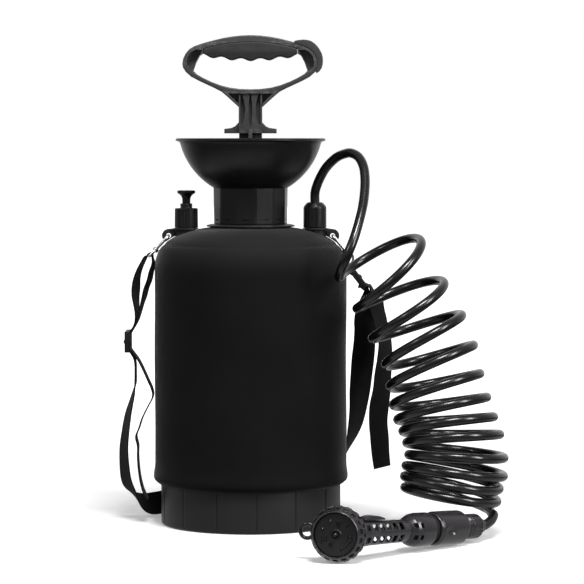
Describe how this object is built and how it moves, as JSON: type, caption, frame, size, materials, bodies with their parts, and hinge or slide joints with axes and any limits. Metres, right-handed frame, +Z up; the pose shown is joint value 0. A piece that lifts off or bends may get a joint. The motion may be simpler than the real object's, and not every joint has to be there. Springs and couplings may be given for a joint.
{
  "type": "portable shower",
  "caption": "Pump-up pressure shower: sleeved round tank, open funnel, D-handle pump, relief valve, coiled hose, slotted spray gun with dial head, and clip-on shoulder straps.",
  "frame": {"origin": "on the tank axis, at the underside of the base cup", "axes": "+Z up, -Y to the front, +X to the hose side"},
  "size_m": [0.4145, 0.4074, 0.5235],
  "materials": {
    "tank_plastic": "satin",
    "neoprene": "matte foamed rubber with knitted face",
    "base_plastic": "satin",
    "funnel_plastic": "semi-gloss",
    "rubber": "matte",
    "inner_plastic": "satin",
    "handle_plastic": "satin",
    "grip_rubber": "matte",
    "hook_metal": "polished",
    "buckle_plastic": "satin",
    "webbing": "woven",
    "hose": "glossy",
    "gun_plastic": "fine-grained satin"
  },
  "bodies": {
    "tank": {"tank_shell": "tank_plastic", "neoprene_sleeve": "neoprene", "neck_flange": "tank_plastic", "base_foot": "base_plastic", "funnel_bowl": "funnel_plastic", "funnel_gasket": "rubber", "relief_nut": "funnel_plastic", "outlet_nut": "funnel_plastic", "outlet_barb": "inner_plastic", "dip_tube": "inner_plastic", "dip_filter": "inner_plastic", "strap_lug_left": "tank_plastic", "strap_lug_right": "tank_plastic", "snap_hook_left": "hook_metal", "snap_hook_right": "hook_metal", "slider_left": "buckle_plastic", "slider_right": "buckle_plastic", "strap_left": "webbing", "strap_right": "webbing", "hose_lead": "hose", "hose_coil": "hose", "hose_tail": "hose", "hose_nut": "gun_plastic", "connector_body": "gun_plastic"},
    "pump": {"pump_cap": "tank_plastic", "cap_gasket": "rubber", "rod_bush": "inner_plastic", "pump_cylinder": "inner_plastic", "check_flap": "rubber"},
    "piston": {"piston": "inner_plastic", "piston_cup": "rubber"},
    "handle": {"pump_rod": "tank_plastic", "handle_frame": "handle_plastic", "handle_grip": "grip_rubber", "handle_clip": "handle_plastic"},
    "relief": {"relief_knob": "funnel_plastic"},
    "gate_left": {"hook_gate_left": "hook_metal"},
    "gate_right": {"hook_gate_right": "hook_metal"},
    "sleeve": {"connector_sleeve": "gun_plastic"},
    "gun": {"gun_inlet": "gun_plastic", "inlet_ring": "rubber", "gun_handle": "gun_plastic", "water_tube": "inner_plastic", "head_housing": "gun_plastic"},
    "dial": {"dial_ring": "gun_plastic", "dial_face": "gun_plastic"},
    "lever": {"thumb_lever": "gun_plastic"},
    "ring": {"hang_ring": "hose"}
  },
  "joints": [
    {"name": "pump_lift", "type": "slide", "parent": "tank", "child": "pump", "axis": [0, 0, 1], "range_m": [0, 0.32]},
    {"name": "pump_stroke", "type": "slide", "parent": "pump", "child": "piston", "axis": [0, 0, 1], "range_m": [-0.045, 0.2]},
    {"name": "handle_turn", "type": "hinge", "parent": "piston", "child": "handle", "pos_m": [0, 0, 0.3], "axis": [0, 0, 1], "range_deg": [0, 90]},
    {"name": "relief_pull", "type": "slide", "parent": "tank", "child": "relief", "axis": [0, 0, 1], "range_m": [0, 0.005], "stiffness_N_per_m": 300, "springref_m": -0.002},
    {"name": "gate_left_swing", "type": "hinge", "parent": "tank", "child": "gate_left", "pos_m": [-0.0989, 0.008, 0.2978], "axis": [0.7325, 0, -0.6807], "range_deg": [0, 15], "stiffness_Nm_per_rad": 0.01, "springref_deg": -11.46},
    {"name": "gate_right_swing", "type": "hinge", "parent": "tank", "child": "gate_right", "pos_m": [0.09852, 0.008, 0.29745], "axis": [0.7547, 0, 0.6561], "range_deg": [0, 15], "stiffness_Nm_per_rad": 0.01, "springref_deg": -11.46},
    {"name": "connector_release", "type": "slide", "parent": "tank", "child": "sleeve", "axis": [0.6907, 0.7208, -0.0581], "range_m": [0, 0.006], "stiffness_N_per_m": 400, "springref_m": -0.003},
    {"name": "gun_swivel", "type": "hinge", "parent": "tank", "child": "gun", "pos_m": [0.2006, -0.178, 0.0188], "axis": [0.6907, 0.7208, -0.0581], "continuous": true},
    {"name": "dial_turn", "type": "hinge", "parent": "gun", "child": "dial", "pos_m": [0.08621, -0.29736, 0.02841], "axis": [0.2592, 0.9645, -0.0509], "continuous": true},
    {"name": "lever_tilt", "type": "hinge", "parent": "gun", "child": "lever", "pos_m": [0.13274, -0.24881, 0.03753], "axis": [-0.722, 0.6919, 0], "range_deg": [0, 25]},
    {"name": "ring_swing", "type": "hinge", "parent": "gun", "child": "ring", "pos_m": [0.06612, -0.26814, 0.028], "axis": [0.0402, 0.0419, 0.9983], "range_deg": [-60, 60]}
  ]
}
